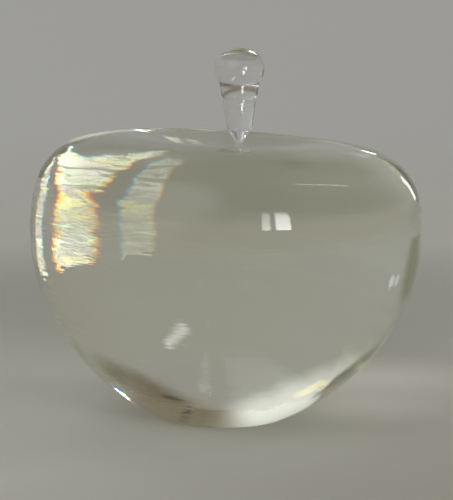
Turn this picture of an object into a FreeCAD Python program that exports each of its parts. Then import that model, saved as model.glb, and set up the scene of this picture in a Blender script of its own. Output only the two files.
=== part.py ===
import FreeCAD, Part
import math
import os
from enum import IntEnum

import Sketcher
from FreeCAD import Vector

# A clear glass apple paperweight, in millimetres and degrees.
#
# The body is one solid lump of glass, turned in shape but leaning a little to +X as it cooled,
# with a shallow hollow on top and a flat ground under it. A separate stem, made at the lamp,
# stands in a small hole drilled in the hollow, and clear cement fills the hole around its peg.
#
# The origin is on the table, under the centre of the body's widest ring. +Z is up.

SIZES = {
    # The body's profile, upright about its own axis and measured from its widest ring
    "body_width": 90.0,
    "belly_radius": 40.2,
    "shoulder_radius": 15.2,
    "crown_radius": 36.8,
    "rim_inset": 20.1,
    "rim_rise": 20.7,
    "dimple_depth": 2.6,
    "belly_height": 43.7,
    "bowl_angle": 34.0,
    "foot_width": 29.4,
    "foot_slope_angle": 24.5,
    # How the finished body stands
    "body_lean_angle": 3.17,
    "foot_arris": 0.5,
    # The stem, measured up from the floor of the hollow
    "stem_offset": 3.0,
    "stem_height": 23.4,
    "bulb_width": 11.5,
    "bulb_rise": 4.9,
    "bulb_radius": 4.6,
    "neck_fillet": 2.4,
    "shaft_width": 6.4,
    "shaft_rise": 5.4,
    "shaft_taper_angle": 7.5,
    "shaft_fillet": 2.2,
    "tip_width": 1.8,
    "tip_rise": 1.9,
    # The ground peg under the stem, and the cement around it
    "peg_length": 5.0,
    "peg_end_width": 1.4,
    "cement_gap": 0.3,
    "cement_depth": 0.2,
    # How far a cutting shape runs past what it cuts
    "overrun": 2.0,
}
FULL_TURN = 360
HALF_TURN = 180
QUARTER_TURN = 90
# An edge counts as lying at a height when it is this near to it
EDGE_SEARCH = 0.3


class Place(IntEnum):
    """The numbers of the places on a curve."""
    START = 1
    END = 2
    CENTRE = 3


class Axis(IntEnum):
    """The numbers of a sketch's own two axes, whose first point is its origin."""
    ACROSS = -1
    UPRIGHT = -2


doc = FreeCAD.newDocument("GlassApple")
sheet = doc.addObject("Spreadsheet::Sheet", "Sizes")


def write_sizes(sizes, first_row):
    """Fills a row of the sheet for each size: its name, its number and the alias it is bound by."""
    for row, (name, value) in enumerate(sizes.items(), start=first_row):
        sheet.set(f"A{row}", name)
        sheet.set(f"B{row}", str(value))
        sheet.setAlias(f"B{row}", name)
    doc.recompute()


def size(name):
    """A number of the sheet."""
    return float(getattr(sheet, name))


def direction(angle):
    """The way that points at an angle from a sketch's own X."""
    return Vector(math.cos(math.radians(angle)), math.sin(math.radians(angle)), 0)


def circle(centre, radius):
    """A circle in a sketch."""
    return Part.Circle(centre, Vector(0, 0, 1), radius)


def arc(centre, radius, start, end):
    """A counter-clockwise arc between two angles."""
    return Part.ArcOfCircle(circle(centre, radius), math.radians(start), math.radians(end))


def angle_of(step):
    """The angle of a step in a sketch, from the sketch's own X."""
    return math.degrees(math.atan2(step.y, step.x))


def crossing(first, first_radius, second, second_radius):
    """Where two circles cross, on the left of the way from the first centre to the second."""
    way = second - first
    along = (way.Length ** 2 + first_radius ** 2 - second_radius ** 2) / (2 * way.Length)
    aside = math.sqrt(first_radius ** 2 - along ** 2)
    way.normalize()
    return first + way * along + Vector(-way.y, way.x, 0) * aside


# The upper half: the belly's arc, the tight shoulder and the crown that turns over the rim
write_sizes(SIZES, first_row=1)
ORIGIN = Vector(0, 0, 0)
belly_centre = Vector(size("body_width") / 2 - size("belly_radius"), 0, 0)
crown_centre = Vector(
    size("body_width") / 2 - size("rim_inset"), size("rim_rise") - size("crown_radius"), 0
)
shoulder_centre = crossing(
    belly_centre, size("belly_radius") - size("shoulder_radius"),
    crown_centre, size("crown_radius") - size("shoulder_radius"),
)
shoulder_low_angle = angle_of(shoulder_centre - belly_centre)
shoulder_top_angle = angle_of(shoulder_centre - crown_centre)

# The hollow's floor is a dish on the axis that runs smoothly into the crown's inner side
dish_angle = 2 * math.degrees(math.atan(size("dimple_depth") / crown_centre.x))
dish_radius = crown_centre.x / math.sin(math.radians(dish_angle)) - size("crown_radius")
dish_centre = Vector(0, crown_centre.y + crown_centre.x / math.tan(math.radians(dish_angle)), 0)

# The lower half: two arcs run smoothly from the widest ring to the edge of the foot. Their angles
# are given, so their radii follow from how far in and down the foot's edge is.
foot_edge = Vector(size("foot_width") / 2, -size("belly_height"), 0)
foot_way = foot_edge - Vector(size("body_width") / 2, 0, 0)
bowl_chord = direction(-size("bowl_angle")) - direction(0)
heel_chord = direction(size("foot_slope_angle") - QUARTER_TURN) - direction(-size("bowl_angle"))
spread = bowl_chord.cross(heel_chord).z
bowl_radius = foot_way.cross(heel_chord).z / spread
heel_radius = bowl_chord.cross(foot_way).z / spread
bowl_centre = Vector(size("body_width") / 2 - bowl_radius, 0, 0)
heel_centre = bowl_centre + direction(-size("bowl_angle")) * (bowl_radius - heel_radius)
heel_end_angle = -math.degrees(math.acos(-heel_centre.x / heel_radius))

# The stem stands on the leaning hollow's floor, a little off its middle
lean = math.radians(size("body_lean_angle"))
dish_place = Vector(math.sin(lean), 0, math.cos(lean)) * dish_centre.y + Vector(0, 0, size("belly_height"))
stem_reach = size("stem_offset") - dish_place.x
write_sizes(
    {"seat_height": dish_place.z - math.sqrt(dish_radius ** 2 - stem_reach ** 2)},
    first_row=len(SIZES) + 1,
)


def new_body(label):
    """An empty body whose label names the piece."""
    body = doc.addObject("PartDesign::Body", label)
    body.Label = label
    return body


def new_sketch(body, name, role):
    """A sketch on one of the body's own origin planes."""
    plane = next(feature for feature in body.Origin.OriginFeatures if feature.Role == role)
    sketch = body.newObject("Sketcher::SketchObject", name)
    sketch.AttachmentSupport = [(plane, "")]
    sketch.MapMode = "FlatFace"
    return sketch


def join(sketch, kind, *places):
    """Adds a geometric constraint."""
    sketch.addConstraint(Sketcher.Constraint(kind, *places))


def dimension(sketch, kind, places, expression):
    """Adds a dimension and ties it to the sheet."""
    value = float(sketch.evalExpression(expression))
    if kind == "Angle":
        value = math.radians(value)
    index = sketch.addConstraint(Sketcher.Constraint(kind, *places, value))
    sketch.setExpression(f"Constraints[{index}]", expression)


def revolve(body, name, sketch):
    """A full turn of a sketch about its own upright axis."""
    turned = body.newObject("PartDesign::Revolution", name)
    turned.Profile = sketch
    turned.ReferenceAxis = (sketch, ["V_Axis"])
    turned.Angle = FULL_TURN
    doc.recompute()
    return turned


def edges_at(feature, height):
    """The names of a feature's edges that lie level at a height."""
    names = []
    for number, edge in enumerate(feature.Shape.Edges, start=1):
        box = edge.BoundBox
        if height - EDGE_SEARCH <= box.ZMin and box.ZMax <= height + EDGE_SEARCH:
            names.append(f"Edge{number}")
    return names


START, END, CENTRE = Place
ORIGIN_POINT = (Axis.ACROSS, START)


def glass_body():
    """The solid body: turned, leaned, ground flat underneath and drilled for the stem."""
    body = new_body("glass_body")
    profile = new_sketch(body, "BodyProfile", "XZ_Plane")
    dish = profile.addGeometry(arc(dish_centre, dish_radius, -QUARTER_TURN, dish_angle - QUARTER_TURN))
    crown = profile.addGeometry(
        arc(crown_centre, size("crown_radius"), shoulder_top_angle, QUARTER_TURN + dish_angle)
    )
    shoulder = profile.addGeometry(
        arc(shoulder_centre, size("shoulder_radius"), shoulder_low_angle, shoulder_top_angle)
    )
    belly = profile.addGeometry(arc(belly_centre, size("belly_radius"), 0, shoulder_low_angle))
    bowl = profile.addGeometry(arc(bowl_centre, bowl_radius, -size("bowl_angle"), 0))
    heel = profile.addGeometry(arc(heel_centre, heel_radius, heel_end_angle, -size("bowl_angle")))
    dish_floor = dish_centre - Vector(0, dish_radius, 0)
    heel_floor = heel_centre + direction(heel_end_angle) * heel_radius
    axis = profile.addGeometry(Part.LineSegment(heel_floor, dish_floor))
    spoke = profile.addGeometry(Part.LineSegment(foot_edge, heel_centre), True)

    join(profile, "Tangent", dish, END, crown, END)
    join(profile, "Tangent", crown, START, shoulder, END)
    join(profile, "Tangent", shoulder, START, belly, END)
    join(profile, "Tangent", belly, START, bowl, END)
    join(profile, "Tangent", bowl, START, heel, END)
    join(profile, "Coincident", heel, START, axis, START)
    join(profile, "Coincident", axis, END, dish, START)
    join(profile, "PointOnObject", axis, START, Axis.UPRIGHT)
    join(profile, "PointOnObject", axis, END, Axis.UPRIGHT)
    join(profile, "PointOnObject", dish, CENTRE, Axis.UPRIGHT)
    join(profile, "PointOnObject", belly, CENTRE, Axis.ACROSS)
    join(profile, "PointOnObject", belly, START, Axis.ACROSS)
    join(profile, "PointOnObject", spoke, START, heel)
    join(profile, "Coincident", spoke, END, heel, CENTRE)
    dimension(profile, "DistanceX", (*ORIGIN_POINT, belly, START), "Sizes.body_width / 2")
    dimension(profile, "Radius", (belly,), "Sizes.belly_radius")
    dimension(profile, "Radius", (shoulder,), "Sizes.shoulder_radius")
    dimension(profile, "Radius", (crown,), "Sizes.crown_radius")
    dimension(profile, "DistanceX", (crown, CENTRE, belly, START), "Sizes.rim_inset")
    dimension(profile, "DistanceY", (*ORIGIN_POINT, dish, START), "Sizes.rim_rise - Sizes.dimple_depth")
    dimension(
        profile, "DistanceY", (crown, CENTRE, dish, START), "Sizes.crown_radius - Sizes.dimple_depth"
    )
    dimension(profile, "Angle", (bowl,), "Sizes.bowl_angle")
    dimension(profile, "Angle", (spoke,), "90 + Sizes.foot_slope_angle")
    dimension(profile, "DistanceX", (*ORIGIN_POINT, spoke, START), "Sizes.foot_width / 2")
    dimension(profile, "DistanceY", (spoke, START, *ORIGIN_POINT), "Sizes.belly_height")

    # The whole profile leans about the middle of its widest ring
    profile.setExpression(".AttachmentOffset.Base.y", "Sizes.belly_height")
    profile.setExpression(".AttachmentOffset.Rotation.Angle", "-Sizes.body_lean_angle")
    doc.recompute()
    turned = revolve(body, "Lump", profile)

    ground = new_sketch(body, "FootCutOutline", "XY_Plane")
    wheel = ground.addGeometry(circle(ORIGIN, size("body_width") / 2))
    join(ground, "Coincident", wheel, CENTRE, *ORIGIN_POINT)
    dimension(ground, "Radius", (wheel,), "Sizes.body_width / 2")
    foot_cut = body.newObject("PartDesign::Pocket", "FootCut")
    foot_cut.Profile = ground
    foot_cut.Type = "ThroughAll"
    doc.recompute()
    print("foot cut takes away", round(turned.Shape.Volume - foot_cut.Shape.Volume, 1), "mm3")

    arris = body.newObject("PartDesign::Chamfer", "FootArris")
    arris.Base = (foot_cut, edges_at(foot_cut, ORIGIN.z))
    arris.setExpression("Size", "Sizes.foot_arris")
    doc.recompute()

    mouth = new_sketch(body, "SocketOutline", "XY_Plane")
    mouth.setExpression(".AttachmentOffset.Base.z", "Sizes.seat_height + Sizes.overrun")
    hole = mouth.addGeometry(circle(Vector(size("stem_offset"), 0, 0), size("tip_width") / 2))
    join(mouth, "PointOnObject", hole, CENTRE, Axis.ACROSS)
    dimension(mouth, "DistanceX", (*ORIGIN_POINT, hole, CENTRE), "Sizes.stem_offset")
    dimension(mouth, "Radius", (hole,), "Sizes.tip_width / 2 + Sizes.cement_gap")
    socket = body.newObject("PartDesign::Pocket", "StemSocket")
    socket.Profile = mouth
    socket.setExpression("Length", "Sizes.overrun + Sizes.peg_length + Sizes.cement_gap")
    doc.recompute()
    print("socket takes away", round(arris.Shape.Volume - socket.Shape.Volume, 2), "mm3")
    return body


def stand_on_seat(body):
    """Puts a piece of the stem over its hole, with its own zero on the hollow's floor."""
    body.setExpression(".Placement.Base.x", "Sizes.stem_offset")
    body.setExpression(".Placement.Base.z", "Sizes.seat_height")


def glass_stem():
    """The stem: a round-topped bulb over a tapering shaft with a narrow ground peg."""
    body = new_body("glass_stem")
    profile = new_sketch(body, "StemProfile", "XZ_Plane")
    bulb_centre = Vector(
        size("bulb_width") / 2 - size("bulb_radius"), size("stem_height") - size("bulb_rise"), 0
    )
    # The cap is the arc on the axis that runs smoothly into the bulb and has its top at the stem's
    rise_left = size("bulb_rise") - size("bulb_radius")
    cap_radius = size("bulb_radius") + (bulb_centre.x ** 2 + rise_left ** 2) / (2 * rise_left)
    cap_centre = Vector(0, size("stem_height") - cap_radius, 0)
    cap_angle = angle_of(bulb_centre - cap_centre)
    top = Vector(0, size("stem_height"), 0)

    shaft_low = Vector(size("shaft_width") / 2, size("shaft_rise"), 0)
    shaft_way = direction(QUARTER_TURN - size("shaft_taper_angle"))
    along = (bulb_centre - shaft_low).dot(shaft_way)
    aside = (bulb_centre - shaft_low - shaft_way * along).Length
    half_chord = math.sqrt(size("bulb_radius") ** 2 - aside ** 2)
    shaft_high = shaft_low + shaft_way * (along - half_chord)
    bulb_low_angle = angle_of(shaft_high - bulb_centre)

    tip = Vector(size("tip_width") / 2, size("tip_rise"), 0)
    peg_end = Vector(size("peg_end_width") / 2, -size("peg_length"), 0)
    peg_middle = Vector(0, -size("peg_length"), 0)

    cap = profile.addGeometry(arc(cap_centre, cap_radius, cap_angle, QUARTER_TURN))
    bulb = profile.addGeometry(arc(bulb_centre, size("bulb_radius"), bulb_low_angle, cap_angle))
    shaft = profile.addGeometry(Part.LineSegment(shaft_low, shaft_high))
    cone = profile.addGeometry(Part.LineSegment(tip, shaft_low))
    peg = profile.addGeometry(Part.LineSegment(peg_end, tip))
    base = profile.addGeometry(Part.LineSegment(peg_middle, peg_end))
    axis = profile.addGeometry(Part.LineSegment(top, peg_middle))

    join(profile, "Tangent", cap, START, bulb, END)
    join(profile, "Coincident", bulb, START, shaft, END)
    join(profile, "Coincident", shaft, START, cone, END)
    join(profile, "Coincident", cone, START, peg, END)
    join(profile, "Coincident", peg, START, base, END)
    join(profile, "Coincident", base, START, axis, END)
    join(profile, "Coincident", axis, START, cap, END)
    join(profile, "Horizontal", base)
    join(profile, "PointOnObject", base, START, Axis.UPRIGHT)
    join(profile, "PointOnObject", cap, END, Axis.UPRIGHT)
    join(profile, "PointOnObject", cap, CENTRE, Axis.UPRIGHT)
    dimension(profile, "DistanceY", (*ORIGIN_POINT, cap, END), "Sizes.stem_height")
    dimension(profile, "DistanceY", (bulb, CENTRE, cap, END), "Sizes.bulb_rise")
    dimension(
        profile, "DistanceX", (*ORIGIN_POINT, bulb, CENTRE), "Sizes.bulb_width / 2 - Sizes.bulb_radius"
    )
    dimension(profile, "Radius", (bulb,), "Sizes.bulb_radius")
    dimension(profile, "DistanceX", (*ORIGIN_POINT, shaft, START), "Sizes.shaft_width / 2")
    dimension(profile, "DistanceY", (*ORIGIN_POINT, shaft, START), "Sizes.shaft_rise")
    dimension(profile, "Angle", (Axis.ACROSS, START, shaft, START), "90 - Sizes.shaft_taper_angle")
    dimension(profile, "DistanceX", (*ORIGIN_POINT, cone, START), "Sizes.tip_width / 2")
    dimension(profile, "DistanceY", (*ORIGIN_POINT, cone, START), "Sizes.tip_rise")
    dimension(profile, "DistanceX", (*ORIGIN_POINT, base, END), "Sizes.peg_end_width / 2")
    dimension(profile, "DistanceY", (base, START, *ORIGIN_POINT), "Sizes.peg_length")
    doc.recompute()
    turned = revolve(body, "StemTurn", profile)

    # The bulb flows into the shaft, and the shaft rounds over into the cone
    neck = body.newObject("PartDesign::Fillet", "NeckFillet")
    neck.Base = (turned, edges_at(turned, shaft_high.y))
    neck.setExpression("Radius", "Sizes.neck_fillet")
    doc.recompute()
    heel = body.newObject("PartDesign::Fillet", "ShaftFillet")
    heel.Base = (neck, edges_at(neck, shaft_low.y))
    heel.setExpression("Radius", "Sizes.shaft_fillet")
    stand_on_seat(body)
    doc.recompute()
    return body


def stem_cement():
    """The clear cement: a sleeve around the peg, closed under its end."""
    body = new_body("stem_cement")
    profile = new_sketch(body, "CementProfile", "XZ_Plane")
    # The peg's own taper tells how wide it is where the cement stops
    tip_radius = size("tip_width") / 2
    taper = (tip_radius - size("peg_end_width") / 2) / (size("peg_length") + size("tip_rise"))
    bottom = -size("peg_length") - size("cement_gap")
    corners = (
        Vector(0, bottom, 0),
        Vector(tip_radius + size("cement_gap"), bottom, 0),
        Vector(tip_radius + size("cement_gap"), -size("cement_depth"), 0),
        Vector(tip_radius - taper * (size("tip_rise") + size("cement_depth")), -size("cement_depth"), 0),
        Vector(size("peg_end_width") / 2, -size("peg_length"), 0),
        Vector(0, -size("peg_length"), 0),
    )
    sides = []
    for corner, following in zip(corners, corners[1:] + corners[:1]):
        sides.append(profile.addGeometry(Part.LineSegment(corner, following)))
    under, wall, rim, bore, floor, axis = sides
    for side, following in zip(sides, sides[1:] + sides[:1]):
        join(profile, "Coincident", side, END, following, START)
    for level in (under, rim, floor):
        join(profile, "Horizontal", level)
    join(profile, "Vertical", wall)
    join(profile, "PointOnObject", under, START, Axis.UPRIGHT)
    join(profile, "PointOnObject", axis, START, Axis.UPRIGHT)
    dimension(
        profile, "DistanceY", (under, START, *ORIGIN_POINT), "Sizes.peg_length + Sizes.cement_gap"
    )
    dimension(
        profile, "DistanceX", (*ORIGIN_POINT, wall, START), "Sizes.tip_width / 2 + Sizes.cement_gap"
    )
    dimension(profile, "DistanceY", (rim, START, *ORIGIN_POINT), "Sizes.cement_depth")
    dimension(profile, "DistanceX", (*ORIGIN_POINT, floor, START), "Sizes.peg_end_width / 2")
    dimension(profile, "DistanceY", (floor, START, *ORIGIN_POINT), "Sizes.peg_length")
    dimension(
        profile, "DistanceX", (*ORIGIN_POINT, bore, START),
        "Sizes.tip_width / 2 - (Sizes.tip_width - Sizes.peg_end_width) / 2"
        " * (Sizes.tip_rise + Sizes.cement_depth) / (Sizes.tip_rise + Sizes.peg_length)",
    )
    doc.recompute()
    revolve(body, "CementTurn", profile)
    stand_on_seat(body)
    doc.recompute()
    return body


pieces = [glass_body(), glass_stem(), stem_cement()]

for item in doc.Objects:
    if "Invalid" in item.State or "Error" in item.State:
        raise SystemExit(f"{item.Label} did not build: {item.State}")
for piece in pieces:
    if piece.Shape.isNull() or not piece.Shape.isValid():
        raise SystemExit(f"{piece.Label} has no sound shape")

os.makedirs("parts", exist_ok=True)
for piece in pieces:
    box = piece.Shape.BoundBox
    print(piece.Label, len(piece.Shape.Solids), "solid,", round(piece.Shape.Volume, 1), "mm3")
    print(f"  from x {box.XMin:.2f}, y {box.YMin:.2f}, z {box.ZMin:.2f}")
    print(f"  to x {box.XMax:.2f}, y {box.YMax:.2f}, z {box.ZMax:.2f}")
    piece.Shape.exportStep(f"parts/{piece.Label}.step")
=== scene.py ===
# A clear glass apple paperweight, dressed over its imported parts. Everything is in metres,
# in the parts' own frame: the table is at zero height and the viewer stands on the -Y side.
import math

import bmesh
import bpy
from mathutils import Matrix, Vector, noise


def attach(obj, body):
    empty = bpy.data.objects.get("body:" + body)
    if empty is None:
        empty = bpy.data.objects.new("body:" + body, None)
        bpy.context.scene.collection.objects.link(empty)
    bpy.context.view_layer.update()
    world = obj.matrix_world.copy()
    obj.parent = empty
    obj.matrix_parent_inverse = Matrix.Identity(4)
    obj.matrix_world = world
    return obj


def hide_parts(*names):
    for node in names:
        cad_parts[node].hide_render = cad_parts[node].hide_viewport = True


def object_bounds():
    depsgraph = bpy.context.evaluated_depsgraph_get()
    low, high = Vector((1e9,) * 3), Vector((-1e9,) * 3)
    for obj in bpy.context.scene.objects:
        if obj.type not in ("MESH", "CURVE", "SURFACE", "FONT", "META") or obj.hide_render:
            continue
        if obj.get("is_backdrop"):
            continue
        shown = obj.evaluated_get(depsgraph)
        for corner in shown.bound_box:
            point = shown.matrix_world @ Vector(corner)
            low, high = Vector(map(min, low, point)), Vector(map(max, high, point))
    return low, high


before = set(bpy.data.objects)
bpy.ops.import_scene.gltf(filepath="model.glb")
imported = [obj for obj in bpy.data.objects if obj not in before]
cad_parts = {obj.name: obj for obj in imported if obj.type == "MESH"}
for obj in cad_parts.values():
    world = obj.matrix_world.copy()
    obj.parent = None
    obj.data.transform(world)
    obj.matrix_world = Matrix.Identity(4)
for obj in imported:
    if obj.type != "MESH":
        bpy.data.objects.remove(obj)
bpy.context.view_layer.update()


# The body
# One solid lump of soda-lime glass with a faint grey-green tint. It was gathered and shaped hot, so its
# skin is fire polished but keeps slow rings and waves from the shaping, and it leans a little to the
# right. The foot is ground flat and polished, and a hole for the stem's peg is drilled in the hollow.
MM = 0.001
BODY_RADIUS = 45.0 * MM
BELLY_HEIGHT = 43.7 * MM
BELLY_RADIUS = 40.2 * MM
SHOULDER_RADIUS = 15.2 * MM
CROWN_RADIUS = 36.8 * MM
RIM_INSET = 20.1 * MM
RIM_RISE = 20.7 * MM
DIMPLE_DEPTH = 2.6 * MM
BOWL_ANGLE = math.radians(34)
FOOT_RADIUS = 14.7 * MM
FOOT_SLOPE = math.radians(24.5)
FOOT_ARRIS = 0.5 * MM
LEAN = math.radians(3.17)
STEM_OFFSET = 3.0 * MM
PEG_LENGTH = 5.0 * MM
CEMENT_GAP = 0.3 * MM
CEMENT_DEPTH = 0.2 * MM
TIP_RADIUS = 0.9 * MM
STEP = 0.5 * MM
ROUND_SEGMENTS = 270
MERGE_DISTANCE = 0.0001 * MM
CLEAR = "#ffffff"


def way(angle):
    """The flat direction at an angle, as radius and height."""
    return Vector((math.cos(angle), math.sin(angle)))


def crossing(first, first_radius, second, second_radius):
    """Where two circles cross, on the left of the way from the first centre to the second."""
    between = second - first
    along = (between.length_squared + first_radius ** 2 - second_radius ** 2) / (2 * between.length)
    aside = math.sqrt(first_radius ** 2 - along ** 2)
    between.normalize()
    return first + between * along + Vector((-between.y, between.x)) * aside


def arc_points(centre, radius, start, end, step=STEP):
    """Points along an arc, its first one left out, so that arcs can follow one another."""
    count = max(2, round(abs(end - start) * radius / step))
    return [centre + way(start + (end - start) * k / count) * radius for k in range(1, count + 1)]


def spun(points, segments):
    """A closed shape turned about Z from (radius, height) points that start and end on the axis."""
    shape = bmesh.new()
    line = [shape.verts.new((p.x, 0, p.y)) for p in points]
    edges = [shape.edges.new(pair) for pair in zip(line, line[1:])]
    bmesh.ops.spin(
        shape, geom=line + edges, cent=(0, 0, 0), axis=(0, 0, 1), angle=2 * math.pi,
        steps=segments, use_merge=True,
    )
    bmesh.ops.remove_doubles(shape, verts=shape.verts, dist=MERGE_DISTANCE)
    bmesh.ops.recalc_face_normals(shape, faces=shape.faces)
    for face in shape.faces:
        face.smooth = True
    return shape


def finish_piece(shape, name, *materials):
    """Puts a finished shape in the scene."""
    mesh = bpy.data.meshes.new(name)
    shape.to_mesh(mesh)
    shape.free()
    for material in materials:
        mesh.materials.append(material)
    piece = bpy.data.objects.new(name, mesh)
    bpy.context.scene.collection.objects.link(piece)
    return piece


def linear(hex_colour):
    """An sRGB hex colour as linear RGBA."""
    parts = [int(hex_colour[k:k + 2], 16) / 255 for k in (1, 3, 5)]
    return (*[c / 12.92 if c <= 0.04045 else ((c + 0.055) / 1.055) ** 2.4 for c in parts], 1.0)


def add(tree, kind, inputs=(), **settings):
    """Adds a node: settings by property or socket name, inputs as (socket, another's output or value)."""
    node = tree.nodes.new(kind)
    for name, value in settings.items():
        if hasattr(node, name):
            setattr(node, name, value)
        else:
            node.inputs[name.replace("_", " ")].default_value = value
    for socket, source in inputs:
        if isinstance(source, bpy.types.NodeSocket):
            tree.links.new(node.inputs[socket], source)
        else:
            node.inputs[socket].default_value = source
    return node


def new_material(name):
    """An empty node material with its tree."""
    material = bpy.data.materials.new(name)
    material.use_nodes = True
    material.node_tree.nodes.clear()
    return material, material.node_tree


def waves(tree, sizes, height, right_share):
    """A bump of soft waves: their size in mm along X, Y and Z, their height in mm, and the share of the
    height that is left on the right side."""
    place = add(tree, "ShaderNodeTexCoord").outputs["Object"]
    scales = [1 / (size * MM) for size in sizes]
    sized = add(tree, "ShaderNodeMapping", [("Vector", place), ("Scale", scales)])
    inputs = [("Vector", sized.outputs["Vector"])]
    cloud = add(tree, "ShaderNodeTexNoise", inputs, Scale=1.0, Detail=1.0)
    split = add(tree, "ShaderNodeSeparateXYZ", [("Vector", place)])
    strength = add(
        tree, "ShaderNodeMapRange", [("Value", split.outputs["X"])], interpolation_type="SMOOTHSTEP",
        From_Min=-SIDE_FADE, From_Max=SIDE_FADE, To_Min=1.0, To_Max=right_share,
    )
    inputs = [("Height", cloud.outputs["Fac"]), ("Strength", strength.outputs["Result"])]
    return add(tree, "ShaderNodeBump", inputs, Distance=height * MM).outputs["Normal"]


def clear_glass(name, ior, wave_sizes, wave_height, right_share=1.0):
    """Smooth clear glass: sharp reflections, and a skin that bends them a little."""
    material, tree = new_material(name)
    skin = waves(tree, wave_sizes, wave_height, right_share)
    shader = add(
        tree, "ShaderNodeBsdfPrincipled", [("Normal", skin)], Base_Color=linear(CLEAR), Roughness=0.0,
        IOR=ior, Transmission_Weight=1.0,
    )
    out = add(tree, "ShaderNodeOutputMaterial", [("Surface", shader.outputs["BSDF"])])
    return material, tree, out


# The profile runs from the hollow over the rim, the shoulder and the belly down past the foot.
belly_centre = Vector((BODY_RADIUS - BELLY_RADIUS, 0))
crown_centre = Vector((BODY_RADIUS - RIM_INSET, RIM_RISE - CROWN_RADIUS))
shoulder_centre = crossing(
    belly_centre, BELLY_RADIUS - SHOULDER_RADIUS, crown_centre, CROWN_RADIUS - SHOULDER_RADIUS
)
low_turn = math.atan2(*(shoulder_centre - belly_centre).yx)
top_turn = math.atan2(*(shoulder_centre - crown_centre).yx)
dish_turn = 2 * math.atan(DIMPLE_DEPTH / crown_centre.x)
dish_radius = crown_centre.x / math.sin(dish_turn) - CROWN_RADIUS
dish_centre = Vector((0, crown_centre.y + crown_centre.x / math.tan(dish_turn)))
foot_edge = Vector((FOOT_RADIUS, -BELLY_HEIGHT))
foot_way = foot_edge - Vector((BODY_RADIUS, 0))
bowl_chord = way(-BOWL_ANGLE) - way(0)
heel_chord = way(FOOT_SLOPE - math.pi / 2) - way(-BOWL_ANGLE)
spread = bowl_chord.cross(heel_chord)
bowl_radius = foot_way.cross(heel_chord) / spread
heel_radius = bowl_chord.cross(foot_way) / spread
bowl_centre = Vector((BODY_RADIUS - bowl_radius, 0))
heel_centre = bowl_centre + way(-BOWL_ANGLE) * (bowl_radius - heel_radius)
heel_end = -math.acos(-heel_centre.x / heel_radius)
points = [dish_centre - Vector((0, dish_radius))]
points += arc_points(dish_centre, dish_radius, -math.pi / 2, dish_turn - math.pi / 2)
points += arc_points(crown_centre, CROWN_RADIUS, math.pi / 2 + dish_turn, top_turn)
points += arc_points(shoulder_centre, SHOULDER_RADIUS, top_turn, low_turn)
points += arc_points(belly_centre, BELLY_RADIUS, low_turn, 0)
points += arc_points(bowl_centre, bowl_radius, 0, -BOWL_ANGLE)
points += arc_points(heel_centre, heel_radius, -BOWL_ANGLE, heel_end)
points[-1].x = 0
shape = spun(points, ROUND_SEGMENTS)

# Slow waves and rings stand off the turned shape. They fade out in the hollow, and the rings are
# stronger on the left side and end below the belly.
WAVE_SIZE = 26.0 * MM
WAVE_HEIGHT = 0.03 * MM
RING_SPAN = 9.0 * MM
RING_SIZE = 1.9 * MM
RING_HEIGHT = 0.06 * MM
RING_LOW = -12.0 * MM
RING_FADE = 8.0 * MM
RIGHT_RINGS = 0.25
HOLLOW_REACH = 22.0 * MM
shape.normal_update()
for vert in shape.verts:
    place = vert.co
    slow = noise.noise(place / WAVE_SIZE) * WAVE_HEIGHT
    ring_place = Vector((place.x / RING_SPAN, place.y / RING_SPAN, place.z / RING_SIZE))
    rings = noise.noise(ring_place) * RING_HEIGHT
    strength = min(1, place.xy.length / HOLLOW_REACH) ** 2
    left = 0.5 - 0.5 * math.tanh(place.x / HOLLOW_REACH)
    high = min(1, max(0, (place.z - RING_LOW) / RING_FADE))
    ring_share = high * (RIGHT_RINGS + (1 - RIGHT_RINGS) * left)
    vert.co = place + vert.normal * strength * (slow + rings * ring_share)

# The lean, then the flat foot with its bevelled edge.
lean = Matrix.Translation((0, 0, BELLY_HEIGHT)) @ Matrix.Rotation(LEAN, 4, "Y")
bmesh.ops.transform(shape, matrix=lean, verts=shape.verts)
bevel_rise = FOOT_ARRIS * math.sin(FOOT_SLOPE)
bevel_reach = FOOT_ARRIS * (1 + math.cos(FOOT_SLOPE))
cut = bmesh.ops.bisect_plane(
    shape, geom=shape.verts[:] + shape.edges[:] + shape.faces[:], plane_co=(0, 0, bevel_rise),
    plane_no=(0, 0, 1), clear_inner=True,
)
rim = [item for item in cut["geom_cut"] if isinstance(item, bmesh.types.BMEdge)]
skirt = bmesh.ops.extrude_edge_only(shape, edges=rim)["geom"]
low_verts = [item for item in skirt if isinstance(item, bmesh.types.BMVert)]
for vert in low_verts:
    vert.co.z = 0
    vert.co.xy -= vert.co.xy.normalized() * bevel_reach
low_rim = [edge for edge in shape.edges if edge.verts[0] in low_verts and edge.verts[1] in low_verts]
foot = bmesh.ops.contextual_create(shape, geom=low_rim)
flats = foot["faces"] + [item for item in skirt if isinstance(item, bmesh.types.BMFace)]
for face in flats:
    face.smooth = False
bmesh.ops.recalc_face_normals(shape, faces=shape.faces)

# Fire-polished glass: clear and sharply glossy, a little green-grey in its depth like thick window
# glass, with fine level ripples that make wavy lines in the light, weaker on the right.
GLASS_INDEX = 1.52
SKIN_SIZES = (9, 9, 1.3)
SKIN_HEIGHT = 0.045
SKIN_RIGHT_SHARE = 0.3
SIDE_FADE = 25.0 * MM
DEPTH_TINT = "#ebedd1"
TINT_DENSITY = 8.0
glass, tree, out = clear_glass(
    "fire_polished_glass", GLASS_INDEX, SKIN_SIZES, SKIN_HEIGHT, SKIN_RIGHT_SHARE
)
depth = add(tree, "ShaderNodeVolumeAbsorption", Color=linear(DEPTH_TINT), Density=TINT_DENSITY)
tree.links.new(out.inputs["Volume"], depth.outputs["Volume"])

# Cemented glass: where glass meets clear cement of its own index, the eye sees almost nothing, so this
# skin bends no light.
BONDED_INDEX = 1.0
bonded = clear_glass("cemented_glass", BONDED_INDEX, SKIN_SIZES, SKIN_HEIGHT)[0]

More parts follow.
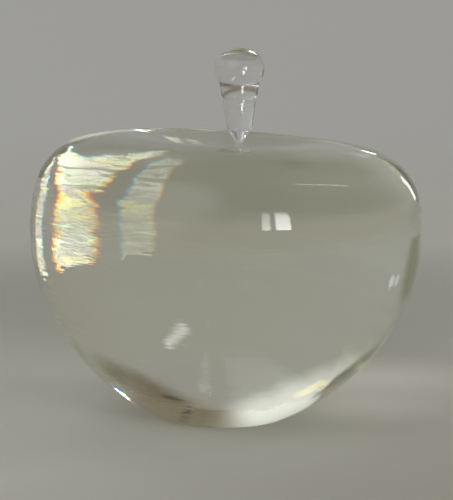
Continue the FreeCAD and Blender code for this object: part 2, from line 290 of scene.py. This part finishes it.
# The hole goes down from the place in the hollow where the stem is seated. The drill is twice as long
# as the hole is deep, and its upper half stands in the air.
HOLE_SEGMENTS = 48
dish_place = lean @ Vector((0, 0, dish_centre.y))
seat_drop = math.sqrt(dish_radius ** 2 - (STEM_OFFSET - dish_place.x) ** 2)
seat = Vector((STEM_OFFSET, 0, dish_place.z - seat_drop))
hole_depth = PEG_LENGTH + CEMENT_GAP
hole_radius = TIP_RADIUS + CEMENT_GAP
body = finish_piece(shape, "apple_body", glass, bonded)
drill = bmesh.new()
bmesh.ops.create_cone(
    drill, cap_ends=True, segments=HOLE_SEGMENTS, radius1=hole_radius, radius2=hole_radius,
    depth=2 * hole_depth, matrix=Matrix.Translation(seat),
)
for face in drill.faces:
    face.material_index = 1
drill_bit = finish_piece(drill, "drill_bit", glass, bonded)
drilled = body.modifiers.new("drilled", "BOOLEAN")
drilled.object = drill_bit
drilled.operation = "DIFFERENCE"
drilled.solver = "EXACT"
solid = bpy.data.meshes.new_from_object(body.evaluated_get(bpy.context.evaluated_depsgraph_get()))
body.modifiers.clear()
body.data = solid
bpy.data.objects.remove(drill_bit)
mesh = bmesh.new()
mesh.from_mesh(solid)
for edge in mesh.edges:
    if len({face.material_index for face in edge.link_faces}) > 1:
        edge.smooth = False
mesh.to_mesh(solid)
mesh.free()
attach(body, "root")
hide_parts("glass_body")


# The stem
# A separate stem of clear glass rod, made at the lamp: a round-topped bulb on a short collar with a
# shallow groove under it, a tapering shaft and a drawn point, whose ground peg goes down into the hole.
STEM_HEIGHT = 23.4 * MM
BULB_RADIUS = 5.75 * MM
BULB_RISE = 4.9 * MM
BULB_BEND = 4.6 * MM
NECK_BEND = 2.4 * MM
SHAFT_RADIUS = 3.2 * MM
SHAFT_RISE = 5.4 * MM
SHAFT_BEND = 2.2 * MM
SHAFT_TAPER = math.radians(7.5)
COLLAR_RISE = 6.4 * MM
COLLAR_STEP = 0.15 * MM
GROOVE_SPAN = 0.8 * MM
GROOVE_DEPTH = 0.4 * MM
GROOVE_BEND = 0.6 * MM
TIP_RISE = 1.9 * MM
TIP_BEND = 1.0 * MM
PEG_END_RADIUS = 0.7 * MM
STEM_STEP = 0.15 * MM
STEM_SEGMENTS = 96


def rounded(before, corner, after, radius, step=STEM_STEP):
    """A corner of an outline turned into an arc of the given radius."""
    back = (before - corner).normalized()
    on = (after - corner).normalized()
    half = math.acos(max(-1, min(1, back.dot(on)))) / 2
    reach = radius / math.tan(half)
    centre = corner + (back + on).normalized() * (radius / math.sin(half))
    first = corner + back * reach
    last = corner + on * reach
    start = math.atan2(*(first - centre).yx)
    end = math.atan2(*(last - centre).yx)
    turn = (end - start + math.pi) % (2 * math.pi) - math.pi
    return [first] + arc_points(centre, radius, start, start + turn, step)


# The bulb is a wide cap over a round edge, and the hollow neck touches both it and the shaft.
bulb_centre = Vector((BULB_RADIUS - BULB_BEND, STEM_HEIGHT - BULB_RISE))
rise_left = BULB_RISE - BULB_BEND
cap_radius = BULB_BEND + (bulb_centre.x ** 2 + rise_left ** 2) / (2 * rise_left)
cap_centre = Vector((0, STEM_HEIGHT - cap_radius))
cap_turn = math.atan2(*(bulb_centre - cap_centre).yx)
shaft_low = Vector((SHAFT_RADIUS, SHAFT_RISE))
shaft_way = way(math.pi / 2 - SHAFT_TAPER)
shaft_out = Vector((shaft_way.y, -shaft_way.x))
offset_low = shaft_low + shaft_out * NECK_BEND
along = (bulb_centre - offset_low).dot(shaft_way)
aside = (bulb_centre - offset_low - shaft_way * along).length
neck_centre = offset_low + shaft_way * (along - math.sqrt((BULB_BEND + NECK_BEND) ** 2 - aside ** 2))
neck_top = math.atan2(*(bulb_centre - neck_centre).yx)
shaft_high = neck_centre - shaft_out * NECK_BEND
neck_low = math.atan2(*(shaft_high - neck_centre).yx) % (2 * math.pi)
tip = Vector((TIP_RADIUS, TIP_RISE))
peg_end = Vector((PEG_END_RADIUS, -PEG_LENGTH))
outline = [Vector((0, STEM_HEIGHT))]
outline += arc_points(cap_centre, cap_radius, math.pi / 2, cap_turn, STEM_STEP)
outline += arc_points(bulb_centre, BULB_BEND, cap_turn, neck_top - math.pi, STEM_STEP)
outline += arc_points(neck_centre, NECK_BEND, neck_top, neck_low, STEM_STEP)
groove_top = shaft_low + shaft_way * (COLLAR_RISE + GROOVE_SPAN)
groove_floor = shaft_low + shaft_way * COLLAR_RISE - shaft_out * GROOVE_DEPTH
groove_end = shaft_low + shaft_way * (COLLAR_RISE - GROOVE_SPAN) - shaft_out * COLLAR_STEP
heel = shaft_low - shaft_out * COLLAR_STEP
outline += rounded(shaft_high, groove_top, groove_floor, GROOVE_BEND)
outline += rounded(groove_top, groove_floor, groove_end, GROOVE_BEND)
outline += rounded(groove_floor, groove_end, heel, GROOVE_BEND)
outline += rounded(groove_end, heel, tip, SHAFT_BEND)
outline += rounded(heel, tip, peg_end, TIP_BEND)
outline += [tip.lerp(peg_end, (TIP_RISE + CEMENT_DEPTH) / (TIP_RISE + PEG_LENGTH)), peg_end]
outline += [Vector((0, -PEG_LENGTH))]
shape = spun(outline, STEM_SEGMENTS)
for face in shape.faces:
    if face.calc_center_median().z < -CEMENT_DEPTH:
        face.material_index = 1
        face.smooth = False
bmesh.ops.translate(shape, vec=seat, verts=shape.verts)

# Lamp-worked glass: colourless, with the soft lengthwise waves of a drawn rod. Two faint brown bands
# on the front of its neck are a painted reflection of brown in the room. Each band has its height over
# the seat, its half width, and how far it rises to the right and to the back.
ROD_INDEX = 1.50
ROD_SIZES = (3, 3, 5)
ROD_HEIGHT = 0.03
PAINTED_REFLECTION_TINT = "#a29076"
PAINTED_BROWN_REFLECTIONS = ((14.5 * MM, 0.9 * MM, -0.16, 0.0), (12.3 * MM, 1.0 * MM, 0.12, -0.45))
PAINTED_REFLECTION_FADE = 2.0 * MM
rod, tree = clear_glass("lamp_worked_glass", ROD_INDEX, ROD_SIZES, ROD_HEIGHT)[:2]
# Painted reflection: it lies on the front of the neck only and fades towards the back.
place = add(tree, "ShaderNodeTexCoord").outputs["Object"]
split = add(tree, "ShaderNodeSeparateXYZ", [("Vector", place)])
front = add(
    tree, "ShaderNodeMapRange", [("Value", split.outputs["Y"])], interpolation_type="SMOOTHSTEP",
    From_Min=PAINTED_REFLECTION_FADE, From_Max=-PAINTED_REFLECTION_FADE,
)

# A Mix node takes its two colours on these inputs and gives the mixed colour on this output.
ONE_TONE = 6
OTHER_TONE = 7
BOTH_TONES = 2
tone = linear(CLEAR)
# Each band of painted reflection is mixed into the glass's colour.
for rise, reach, right_rise, back_rise in PAINTED_BROWN_REFLECTIONS:
    inputs = [(0, place), (1, (-right_rise, -back_rise, 1))]
    slope = add(tree, "ShaderNodeVectorMath", inputs, operation="DOT_PRODUCT")
    inputs = [(0, slope.outputs["Value"]), (1, seat.z + rise - right_rise * seat.x)]
    level = add(tree, "ShaderNodeMath", inputs, operation="SUBTRACT")
    off = add(tree, "ShaderNodeMath", [(0, level.outputs[0])], operation="ABSOLUTE")
    near = add(
        tree, "ShaderNodeMapRange", [("Value", off.outputs[0])], interpolation_type="SMOOTHSTEP",
        From_Min=reach, From_Max=0,
    )
    inputs = [(0, near.outputs["Result"]), (1, front.outputs["Result"])]
    share = add(tree, "ShaderNodeMath", inputs, operation="MULTIPLY")
    inputs = [("Factor", share.outputs[0]), (ONE_TONE, tone), (OTHER_TONE, linear(PAINTED_REFLECTION_TINT))]
    tone = add(tree, "ShaderNodeMix", inputs, data_type="RGBA").outputs[BOTH_TONES]
tree.links.new(tree.nodes["Principled BSDF"].inputs["Base Color"], tone)
stem = finish_piece(shape, "apple_stem", rod, bonded)
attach(stem, "root")
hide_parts("glass_stem")


# The cement
# A thin sleeve of clear adhesive that fills the hole round the stem's peg. It was poured in as a drop
# and cured there; its index is that of the glass, so only a faint warm tint shows.
CLOUD_SIZE = 0.6 * MM
PALEST_SHARE = 0.94
CEMENT_TINT = "#fbf8ee"
cement, tree = new_material("cured_clear_cement")
place = add(tree, "ShaderNodeTexCoord").outputs["Object"]
cloud = add(tree, "ShaderNodeTexNoise", [("Vector", place)], Scale=1 / CLOUD_SIZE, Detail=2.0)
warmth = add(tree, "ShaderNodeMapRange", [("Value", cloud.outputs["Fac"])], To_Min=PALEST_SHARE)
inputs = [(0, linear(CEMENT_TINT)[:3]), ("Scale", warmth.outputs["Result"])]
tone = add(tree, "ShaderNodeVectorMath", inputs, operation="SCALE")
shader = add(
    tree, "ShaderNodeBsdfPrincipled", [("Base Color", tone.outputs["Vector"])], Roughness=0.0,
    IOR=BONDED_INDEX, Transmission_Weight=1.0,
)
add(tree, "ShaderNodeOutputMaterial", [("Surface", shader.outputs["BSDF"])])
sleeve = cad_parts["stem_cement"]
sleeve.data.materials.clear()
sleeve.data.materials.append(cement)


# The room
# A plain grey room, a shade cooler on its left. It is brighter high on the left and darker high on the
# right, and has two thin lights: a tube high on the right and a slit low behind. The glass shows these
# tones at its base and its rims.
LEFT_TONE = "#a2a2a0"
RIGHT_TONE = "#979590"

# Each spot of the room: azimuth, elevation, full reach and faded reach in degrees, level, colour.
ROOM_SPOTS = (
    # dim and low, on the viewer's own side
    (10, 8, 4, 24, 0.10, "#ffffff"),
    # wide cool light, high on the left
    (31, 38, 8, 36, 1.2, "#f8fbff"),
    # a brown shade above the window
    (-24, 45, 10, 28, 0.20, "#ffe9c4"),
    # a light wall high behind on the left, its brightest and slightly yellow place, and its dark edge
    (147, 50, 4, 24, 0.8, "#ffffff"),
    (146, 44, 1.5, 7, 1.2, "#fff6da"),
    (122, 43, 8, 14, 0.12, "#ffffff"),
    # a brown shade high behind on the right, and the darkest spots in it and above the window
    (-145, 46, 8, 19, 0.16, "#ffe9c4"),
    (-159, 46, 1, 4, 0.03, "#ffffff"),
    (-22, 53, 0.5, 3, 0.04, "#ffffff"),
    # two small pale glows low behind on the left
    (134, 8.6, 0.5, 2.2, 0.65, "#ffffff"),
    (130, 9.2, 0.5, 2.2, 0.6, "#ffffff"),
    # an olive shade low on the left
    (113, 8, 5, 14, 0.20, "#f4f4c8"),
)

# Each thin light: azimuth and elevation of its two ends, half width in degrees, level.
THIN_LIGHTS = (
    ((-76, 62), (-106, 40), 1.2, 6),
    ((-166.5, 19.0), (-172.5, 11.5), 2.2, 0.62),
)
world = bpy.data.worlds.new("room")
bpy.context.scene.world = world
world.use_nodes = True
tree = world.node_tree
way_out = add(tree, "ShaderNodeTexCoord").outputs["Generated"]


def room_tone(tree, direction):
    """The room's plain tone in a direction, from its left side to its right side."""
    split = add(tree, "ShaderNodeSeparateXYZ", [("Vector", direction)])
    side = add(tree, "ShaderNodeMapRange", [("Value", split.outputs["X"])], From_Min=-1)
    tones = [(ONE_TONE, linear(LEFT_TONE)), (OTHER_TONE, linear(RIGHT_TONE))]
    inputs = [("Factor", side.outputs["Result"])] + tones
    return add(tree, "ShaderNodeMix", inputs, data_type="RGBA").outputs[BOTH_TONES]


def towards(azimuth, elevation):
    """The way to a spot of the room: azimuths grow from the viewer towards the left."""
    turn = math.radians(azimuth)
    rise = math.radians(elevation)
    return Vector((-math.sin(turn) * math.cos(rise), -math.cos(turn) * math.cos(rise), math.sin(rise)))


def glow(room, azimuth, elevation, inner, outer, level, colour):
    """The room with its light turned softly to another level round one direction."""
    inputs = [(0, way_out), (1, towards(azimuth, elevation))]
    aim = add(tree, "ShaderNodeVectorMath", inputs, operation="DOT_PRODUCT")
    share = add(
        tree, "ShaderNodeMapRange", [("Value", aim.outputs["Value"])], interpolation_type="SMOOTHSTEP",
        From_Min=math.cos(math.radians(outer)), From_Max=math.cos(math.radians(inner)),
    )
    lit = (*[c * level for c in linear(colour)[:3]], 1)
    inputs = [("Factor", share.outputs["Result"]), (ONE_TONE, room), (OTHER_TONE, lit)]
    return add(tree, "ShaderNodeMix", inputs, data_type="RGBA").outputs[BOTH_TONES]


def thin_light(room, start, end, width, level):
    """The room with a thin line of white light from one spot to another."""
    first = towards(*start)
    last = towards(*end)
    middle = (first + last).normalized()
    reach = middle.dot(last)
    inputs = [(0, way_out), (1, middle)]
    along = add(tree, "ShaderNodeVectorMath", inputs, operation="DOT_PRODUCT")
    inputs = [(0, way_out), (1, first.cross(last).normalized())]
    aside = add(tree, "ShaderNodeVectorMath", inputs, operation="DOT_PRODUCT")
    off = add(tree, "ShaderNodeMath", [(0, aside.outputs["Value"])], operation="ABSOLUTE")
    on_line = add(
        tree, "ShaderNodeMapRange", [("Value", along.outputs["Value"])],
        interpolation_type="SMOOTHSTEP", From_Min=reach, From_Max=(1 + reach) / 2,
    )
    thin = add(
        tree, "ShaderNodeMapRange", [("Value", off.outputs[0])], interpolation_type="SMOOTHSTEP",
        From_Min=math.sin(math.radians(width)), From_Max=0,
    )
    inputs = [(0, on_line.outputs["Result"]), (1, thin.outputs["Result"])]
    share = add(tree, "ShaderNodeMath", inputs, operation="MULTIPLY")
    inputs = [("Factor", share.outputs[0]), (ONE_TONE, room), (OTHER_TONE, (level, level, level, 1))]
    return add(tree, "ShaderNodeMix", inputs, data_type="RGBA").outputs[BOTH_TONES]


room = room_tone(tree, way_out)
for spot in ROOM_SPOTS:
    room = glow(room, *spot)
for line in THIN_LIGHTS:
    room = thin_light(room, *line)
tree.links.new(tree.nodes["Background"].inputs["Color"], room)


# The table
# A plain pale matt table top, darker towards the viewer's right hand with painted shade, a painted
# shadow behind the apple, and a painted pool of light from the glass beside it. Far away it fades into
# the room's tone, so that no horizon shows. A hair of air under the foot keeps the foot's mirror bright.
TABLE_REACH = 3.0
AIR_GAP = 0.02 * MM
FADE_START = 0.12
FADE_END = 1.0
NEAR_TONE = "#e0dfd6"
# Painted shade: towards the viewer's right hand the table is painted darker, down to this tone.
PAINTED_SHADE_TONE = "#c2c0b4"
FRONT_RIGHT = (0.6, -0.8, 0)
FRONT_START = 0.02
FRONT_REACH = 0.095

# Each painted spot: its colour, its middle, and where it starts and ends to fade. First comes the
# painted shadow behind the apple, then the painted pool of light beside it.
PAINTED_SHADOW_AND_LIGHT = (
    ("#c9c9c1", (0, 0.17, 0), 0.06, 0.17),
    ("#fbf9f2", (0.033, 0.008, 0), 0, 0.026),
    ("#fbf9f2", (0.040, 0.040, 0), 0, 0.036),
)
shape = bmesh.new()
bmesh.ops.create_grid(shape, x_segments=1, y_segments=1, size=TABLE_REACH)
bmesh.ops.translate(shape, vec=(0, 0, -AIR_GAP), verts=shape.verts)
table, tree = new_material("matt_table")
spot = add(tree, "ShaderNodeTexCoord").outputs["Object"]
# Painted shade: the table's colour darkens towards the viewer's right hand.
slant = add(tree, "ShaderNodeVectorMath", [(0, spot), (1, FRONT_RIGHT)], operation="DOT_PRODUCT")
near = add(
    tree, "ShaderNodeMapRange", [("Value", slant.outputs["Value"])],
    From_Min=FRONT_START, From_Max=FRONT_REACH,
)
tones = [(ONE_TONE, linear(NEAR_TONE)), (OTHER_TONE, linear(PAINTED_SHADE_TONE))]
inputs = [("Factor", near.outputs["Result"])] + tones
tone = add(tree, "ShaderNodeMix", inputs, data_type="RGBA").outputs[BOTH_TONES]
# Painted shadow and painted light: each spot is mixed into the table's colour.
for colour, centre, start, end in PAINTED_SHADOW_AND_LIGHT:
    off = add(tree, "ShaderNodeVectorMath", [(0, spot), (1, centre)], operation="DISTANCE")
    share = add(
        tree, "ShaderNodeMapRange", [("Value", off.outputs["Value"])], interpolation_type="SMOOTHSTEP",
        From_Min=start, From_Max=end,
    )
    inputs = [("Factor", share.outputs["Result"]), (ONE_TONE, linear(colour)), (OTHER_TONE, tone)]
    tone = add(tree, "ShaderNodeMix", inputs, data_type="RGBA").outputs[BOTH_TONES]
shader = add(tree, "ShaderNodeBsdfDiffuse", [("Color", tone)])

# The far part takes the room's tone for the eye, both straight and through or off the glass.
length = add(tree, "ShaderNodeVectorMath", [(0, spot)], operation="LENGTH")
far = add(
    tree, "ShaderNodeMapRange", [("Value", length.outputs["Value"])], interpolation_type="SMOOTHSTEP",
    From_Min=FADE_START, From_Max=FADE_END,
)
ray = add(tree, "ShaderNodeLightPath")
seen = ray.outputs["Is Camera Ray"]
for kind in ("Is Glossy Ray", "Is Transmission Ray"):
    inputs = [(0, seen), (1, ray.outputs[kind])]
    seen = add(tree, "ShaderNodeMath", inputs, operation="MAXIMUM").outputs[0]
share = add(tree, "ShaderNodeMath", [(0, seen), (1, far.outputs["Result"])], operation="MULTIPLY")
away = add(tree, "ShaderNodeVectorMath", [(0, spot)], operation="NORMALIZE")
haze = add(tree, "ShaderNodeEmission", [("Color", room_tone(tree, away.outputs["Vector"]))])
inputs = [(0, share.outputs[0]), (1, shader.outputs[0]), (2, haze.outputs[0])]
both = add(tree, "ShaderNodeMixShader", inputs)
add(tree, "ShaderNodeOutputMaterial", [("Surface", both.outputs[0])])
floor = finish_piece(shape, "table", table)
floor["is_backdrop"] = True


# The window
# Two panes of soft daylight behind the viewer's right shoulder, the right-hand one wider and brighter.
# The light that goes through the glass has the blurred bars and hues of a blind in it, and its colours
# stand a hair apart, for the glass's own spread of colours. The mirrored light fades upwards.
WINDOW_ENDS = (-39.0, -15.0)
EYE_LEVEL = 40.0 * MM
EDGE_BLUR = 0.9
BAR_COUNT = 9.0
BAR_DARK = 0.40
BAR_BRIGHT = 0.56
HUE_COUNT = 6.0
HUE_GAIN = Vector((1.0, 1.0, 1.8))
HUE_DROP = Vector((0.5, 0.5, 1.0))
CARD_PLACE = (2.0 * MM, 0, 64.0 * MM)
CARD_EDGE = 2.0 * MM


def window(name, distance, panes, levels, radiance, bars=0.0, top_share=1.0, spread=0.0, card=0.0):
    """A lit window facing the apple, its panes given as (first azimuth, last azimuth, level)."""
    first, last = WINDOW_ENDS
    turn = math.radians((first + last) / 2)
    low, high = [distance * math.tan(math.radians(level)) for level in levels]
    side = Vector((-math.sin(turn), -math.cos(turn), 0))
    middle = side * distance + Vector((0, 0, EYE_LEVEL + (low + high) / 2))
    light = bpy.data.lights.new(name, "AREA")
    light.shape = "RECTANGLE"
    light.size = 2 * distance * math.tan(math.radians(last - first) / 2)
    light.size_y = high - low
    light.energy = radiance * math.pi * light.size * light.size_y
    light.use_nodes = True
    tree = light.node_tree
    place = add(tree, "ShaderNodeNewGeometry")
    split = add(tree, "ShaderNodeSeparateXYZ", [("Vector", place.outputs["Parametric"])])

    # Across the window each colour has its own row of stops, dark between the panes.
    channels = []
    for shift in (spread, 0, -spread):
        row = add(tree, "ShaderNodeValToRGB", [("Fac", split.outputs["X"])])
        stops = row.color_ramp.elements
        for start, end, level in panes:
            ends = ((start, 0), (start + EDGE_BLUR, level), (end - EDGE_BLUR, level), (end, 0))
            for azimuth, tone in ends:
                stop = stops.new((last - azimuth - shift) / (last - first))
                stop.color = (tone, tone, tone, 1)
        stops[0].color = (0, 0, 0, 1)
        stops[-1].color = (0, 0, 0, 1)
        channels.append(row.outputs["Color"])
    colour = add(tree, "ShaderNodeCombineColor", list(zip(("Red", "Green", "Blue"), channels)))

    # Up the window stand the bars and hues, and the fading towards the top.
    height = split.outputs["Y"]
    hues = add(tree, "ShaderNodeTexNoise", [("W", height)], noise_dimensions="1D", Scale=HUE_COUNT)
    plain = Vector((1, 1, 1)) - HUE_DROP * bars
    inputs = [(0, hues.outputs["Color"]), (1, HUE_GAIN * bars), (2, plain)]
    tint = add(tree, "ShaderNodeVectorMath", inputs, operation="MULTIPLY_ADD")
    inputs = [(0, colour.outputs["Color"]), (1, tint.outputs["Vector"])]
    colour = add(tree, "ShaderNodeVectorMath", inputs, operation="MULTIPLY")
    cloud = add(tree, "ShaderNodeTexNoise", [("W", height)], noise_dimensions="1D", Scale=BAR_COUNT)
    bar = add(
        tree, "ShaderNodeMapRange", [("Value", cloud.outputs["Fac"])],
        From_Min=BAR_DARK, From_Max=BAR_BRIGHT, To_Min=1 - bars,
    )
    fade = add(tree, "ShaderNodeMapRange", [("Value", height)], To_Min=1.0, To_Max=top_share)
    inputs = [(0, bar.outputs["Result"]), (1, fade.outputs["Result"])]
    strength = add(tree, "ShaderNodeMath", inputs, operation="MULTIPLY")

    # A card close over the apple's hollow stops the rays that come out of the glass under it. Each ray
    # is followed back to the place where it left the glass, so the card is the same for every view.
    ray = add(tree, "ShaderNodeLightPath")
    inputs = [(0, place.outputs["Incoming"]), ("Scale", ray.outputs["Ray Length"])]
    back = add(tree, "ShaderNodeVectorMath", inputs, operation="SCALE")
    inputs = [(0, place.outputs["Position"]), (1, back.outputs["Vector"])]
    leaving = add(tree, "ShaderNodeVectorMath", inputs, operation="ADD")
    inputs = [(0, leaving.outputs["Vector"]), (1, CARD_PLACE)]
    off = add(tree, "ShaderNodeVectorMath", inputs, operation="DISTANCE")
    passed = add(
        tree, "ShaderNodeMapRange", [("Value", off.outputs["Value"])], interpolation_type="SMOOTHSTEP",
        From_Min=card, From_Max=card + CARD_EDGE,
    )
    inputs = [(0, strength.outputs[0]), (1, passed.outputs["Result"])]
    lit = add(tree, "ShaderNodeMath", inputs, operation="MULTIPLY")
    emission = tree.nodes["Emission"]
    tree.links.new(emission.inputs["Color"], colour.outputs["Vector"])
    tree.links.new(emission.inputs["Strength"], lit.outputs[0])
    box = bpy.data.objects.new(name, light)
    box.matrix_world = Matrix.Translation(middle) @ side.to_track_quat("Z", "Y").to_matrix().to_4x4()
    box.visible_camera = False
    bpy.context.scene.collection.objects.link(box)
    return box


# The two lights stand a little apart, as lights at one distance would hide each other.
MIRRORED_DISTANCE = 0.52
MIRRORED_PANES = ((-35.8, -26.9, 1.0), (-24.8, -19.3, 0.55))
MIRRORED_LEVELS = (6.0, 24.0)
MIRRORED_RADIANCE = 15
TOP_SHARE = 0.08
THROUGH_DISTANCE = 0.5
THROUGH_PANES = ((-37.0, -28.1, 1.0), (-24.4, -16.8, 0.44))
THROUGH_LEVELS = (-1.5, 20.5)
THROUGH_RADIANCE = 15
BAR_SHARE = 0.75
CARD_REACH = 20.0 * MM
COLOUR_SPREAD = 0.4
mirrored = window(
    "mirrored_window", MIRRORED_DISTANCE, MIRRORED_PANES, MIRRORED_LEVELS, MIRRORED_RADIANCE,
    top_share=TOP_SHARE,
)
mirrored.visible_transmission = False
through = window(
    "window", THROUGH_DISTANCE, THROUGH_PANES, THROUGH_LEVELS, THROUGH_RADIANCE, bars=BAR_SHARE,
    spread=COLOUR_SPREAD, card=CARD_REACH,
)
through.visible_glossy = False
through.visible_diffuse = False
lit_through = bpy.data.collections.new("lit_through")
lit_through.objects.link(body)
through.light_linking.receiver_collection = lit_through


# The glints
# Small lights that show in the mirror of the glass's outer skin alone. For the stem, one stands low in
# front on the right, for the upright stroke on the shaft, and one high behind, for the bright spot on
# the bulb. For the body, one stands behind on the right, for the bright arc on the right shoulder.
STEM_MIDDLE = seat + Vector((0, 0, 12.0 * MM))
BODY_MIDDLE = Vector((0, 0, 40.0 * MM))

# Each glint: its piece and the place it faces, azimuth and elevation, distance, width, height, radiance.
GLINTS = (
    (stem, STEM_MIDDLE, -19, -14, 0.155, 0.034, 0.062, 14),
    (stem, STEM_MIDDLE, -157, 35, 0.3, 0.06, 0.09, 8),
    (body, BODY_MIDDLE, -145, 8.5, 0.4, 0.035, 0.085, 2.3),
)


def glint(piece, middle, azimuth, elevation, distance, width, rise, radiance):
    """A small light facing a piece, which that piece alone mirrors."""
    side = towards(azimuth, elevation)
    light = bpy.data.lights.new("glint", "AREA")
    light.shape = "RECTANGLE"
    light.size = width
    light.size_y = rise
    light.energy = radiance * math.pi * width * rise
    box = bpy.data.objects.new("glint", light)
    turn = side.to_track_quat("Z", "Y").to_matrix().to_4x4()
    box.matrix_world = Matrix.Translation(middle + side * distance) @ turn
    box.visible_camera = False
    box.visible_transmission = False
    box.visible_diffuse = False
    bpy.context.scene.collection.objects.link(box)
    mirrors = bpy.data.collections.new("mirrors")
    mirrors.objects.link(piece)
    box.light_linking.receiver_collection = mirrors


for row in GLINTS:
    glint(*row)


# The camera
# It stands at the photograph's viewing angle, close to the apple and a little above it. Its two shifts
# are in the photograph's pixels.
CAMERA_PLACE = Vector((0, -0.420, 0.097))
AIM = Vector((0, 0, 0.038))
FOCAL_PIXELS = 1837.4
PICTURE_WIDTH = 453
SHIFT_RIGHT = 0.3
SHIFT_UP = 2.6
SENSOR_WIDTH = 36
NEAR_CLIP = 0.01
camera = bpy.data.objects.new("camera", bpy.data.cameras.new("camera"))
bpy.context.scene.collection.objects.link(camera)
bpy.context.scene.camera = camera
camera.location = CAMERA_PLACE
camera.rotation_euler = (AIM - CAMERA_PLACE).to_track_quat("-Z", "Y").to_euler()
camera.data.sensor_fit = "HORIZONTAL"
camera.data.sensor_width = SENSOR_WIDTH
camera.data.lens = SENSOR_WIDTH * FOCAL_PIXELS / PICTURE_WIDTH
camera.data.shift_x = SHIFT_RIGHT / PICTURE_WIDTH
camera.data.shift_y = SHIFT_UP / PICTURE_WIDTH
camera.data.clip_start = NEAR_CLIP
bpy.context.scene.view_settings.view_transform = "Standard"

# Light is let through enough turns to come out of the stem's narrow point.
GLASS_TURNS = 24
bpy.context.scene.cycles.max_bounces = GLASS_TURNS
bpy.context.scene.cycles.glossy_bounces = GLASS_TURNS
bpy.context.scene.cycles.transmission_bounces = GLASS_TURNS

low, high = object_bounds()
